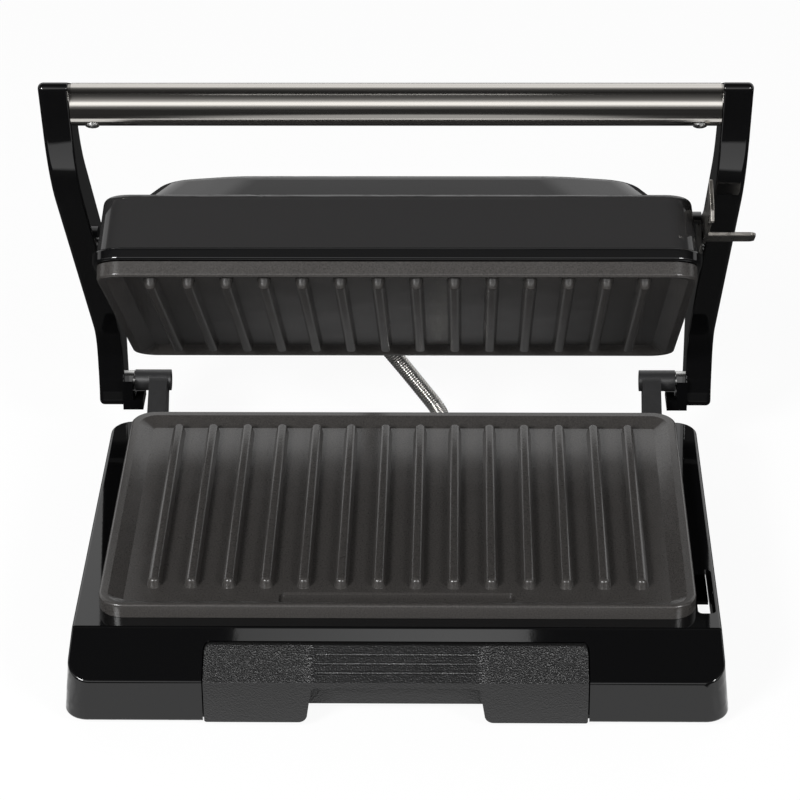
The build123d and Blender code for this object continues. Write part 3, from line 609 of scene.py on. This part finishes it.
# Lid: a moulded black shell with a raised dome, a little less polished than the base,
# on a glossy frame that holds the upper plate, its element and its shield.
lid_black = black_plastic("lid_black", (0.019, 0.0186, 0.0188), roughness=(0.06, 0.1))
fair_copy("lid_shell", "lid", lid_black, crease=32.0, edge=0.0005)
fair_copy("lid_flange", "lid", gloss_black, edge=0.0004)
fair_copy("upper_grill_plate", "lid", coated_plate, flat=True)
fair_copy("upper_heating_element", "lid", dull_sheath)
fair_copy("upper_heat_shield", "lid", bright_sheet)
for screw_node in ("lid_screws", "upper_plate_screws"):
    fair_copy(screw_node, "lid", plated_steel)

# Latch: a pressed steel lever with a hook and a thumb tab, riveted to a black boss
# on the right of the lid.
latch_steel = grained_finish(
    "latch_steel",
    (0.42, 0.40, 0.37),
    scale=260.0,
    detail=4.0,
    roughness=(0.22, 0.4),
    relief=0.1,
    depth=0.0001,
    metallic=1.0,
)
fair_copy("latch_boss", "lid", gloss_black, edge=0.0004)
fair_copy("latch_rivet", "lid", plated_steel)
fair_copy("latch_lever", "latch", latch_steel, edge=0.0003)

# Conduit: close-wound steel wire between two black ferrules, with the leads of the
# upper element inside it. It bends where the lid turns on its hinge.
for end, body in (("base", "base"), ("lid", "lid")):
    fair_copy(end + "_conduit_ferrule", body, satin_black, edge=0.0003)

conduit_route = [
    (0.0200, 0.1045, 0.0180),
    (0.0200, 0.1315, 0.0180),
    (0.0071, 0.1359, 0.0337),
    (-0.0041, 0.1398, 0.0471),
    (-0.0170, 0.1422, 0.0628),
    (-0.0170, 0.1258, 0.0781),
]
smooth_order = 3
straight_order = 2
smooth_steps = 16


def route_mesh(name, points, order, radius=0.0):
    # An open spline along the points, curved or in straight steps by its order, and round
    # in section where it is given a radius.
    curve = bpy.data.curves.new(name, "CURVE")
    curve.dimensions = "3D"
    curve.resolution_u = smooth_steps if order == smooth_order else 1
    spline = curve.splines.new("NURBS")
    spline.points.add(len(points) - 1)
    for control, place in zip(spline.points, points):
        control.co = (*place, 1.0)
    spline.order_u = order
    spline.use_endpoint_u = True
    curve.bevel_depth = radius
    curve.bevel_resolution = 2
    curve.use_fill_caps = radius > 0.0
    holder = bpy.data.objects.new(name, curve)
    mesh = bpy.data.meshes.new_from_object(holder)
    bpy.data.objects.remove(holder)
    return mesh


def round_piece(name, points, radius, finish):
    mesh = route_mesh(name, points, straight_order, radius)
    mesh.materials.clear()
    mesh.materials.append(finish)
    for face in mesh.polygons:
        face.use_smooth = True
    piece = bpy.data.objects.new(name, mesh)
    scene.collection.objects.link(piece)
    return piece


conduit_spine = route_mesh("conduit_line", conduit_route, smooth_order)
conduit_line = [vert.co.copy() for vert in conduit_spine.vertices]
conduit_steps = list(zip(conduit_line, conduit_line[1:]))
conduit_length = sum((after - before).length for before, after in conduit_steps)
coil_radius = 0.0035
wire_radius = 0.00055
coil_pitch = 0.0012
turn_steps = 16
coil_turns = round(conduit_length / coil_pitch)
step_length = conduit_length / (coil_turns * turn_steps)
coil_points = []
coil_side = Vector((1.0, 0.0, 0.0))
coil_step = 0
travelled = 0.0
for before, after in conduit_steps:
    ahead = (after - before).normalized()
    coil_side = (coil_side - ahead * coil_side.dot(ahead)).normalized()
    stretch = (after - before).length
    while coil_step * step_length <= travelled + stretch:
        centre = before + ahead * (coil_step * step_length - travelled)
        swing = Matrix.Rotation(2.0 * math.pi * coil_step / turn_steps, 3, ahead) @ coil_side
        coil_points.append(centre + swing * coil_radius)
        coil_step += 1
    travelled += stretch

conduit_steel = grained_finish(
    "conduit_steel",
    (0.55, 0.54, 0.52),
    scale=500.0,
    detail=2.0,
    roughness=(0.14, 0.28),
    metallic=1.0,
)

# The conduit is drawn in two runs that meet at a split: the lower one from the base,
# and the last stretch up to the lid.
lead_radius = 0.0018
lid_stretch = 0.020
steps_before_split = 4
steps_after_split = 2
steps_at_lid = 3
lid_end = conduit_line[-1]
line_split = next(
    step for step, place in enumerate(conduit_line) if (lid_end - place).length < lid_stretch
)
split_place = conduit_line[line_split]
coil_split = min(range(len(coil_points)), key=lambda step: (coil_points[step] - split_place).length)
arm_reach = (conduit_line[0], conduit_line[line_split - steps_before_split])
lid_reach = (conduit_line[line_split + steps_after_split], conduit_line[-steps_at_lid])
runs = (("lower", ("base", "arms"), arm_reach), ("upper", ("arms", "lid"), lid_reach))
coil_parts = (coil_points[: coil_split + 1], coil_points[coil_split:])
lead_parts = (conduit_line[: line_split + 1], conduit_line[line_split:])
for (run, bodies, reach), coil_part, lead_part in zip(runs, coil_parts, lead_parts):
    coil = round_piece(run + "_coil", coil_part, wire_radius, conduit_steel)
    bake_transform(coil)
    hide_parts("wire_conduit")
    leads = round_piece(run + "_leads", lead_part, lead_radius, foot_rubber)
    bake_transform(leads)
    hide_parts("lid_leads")
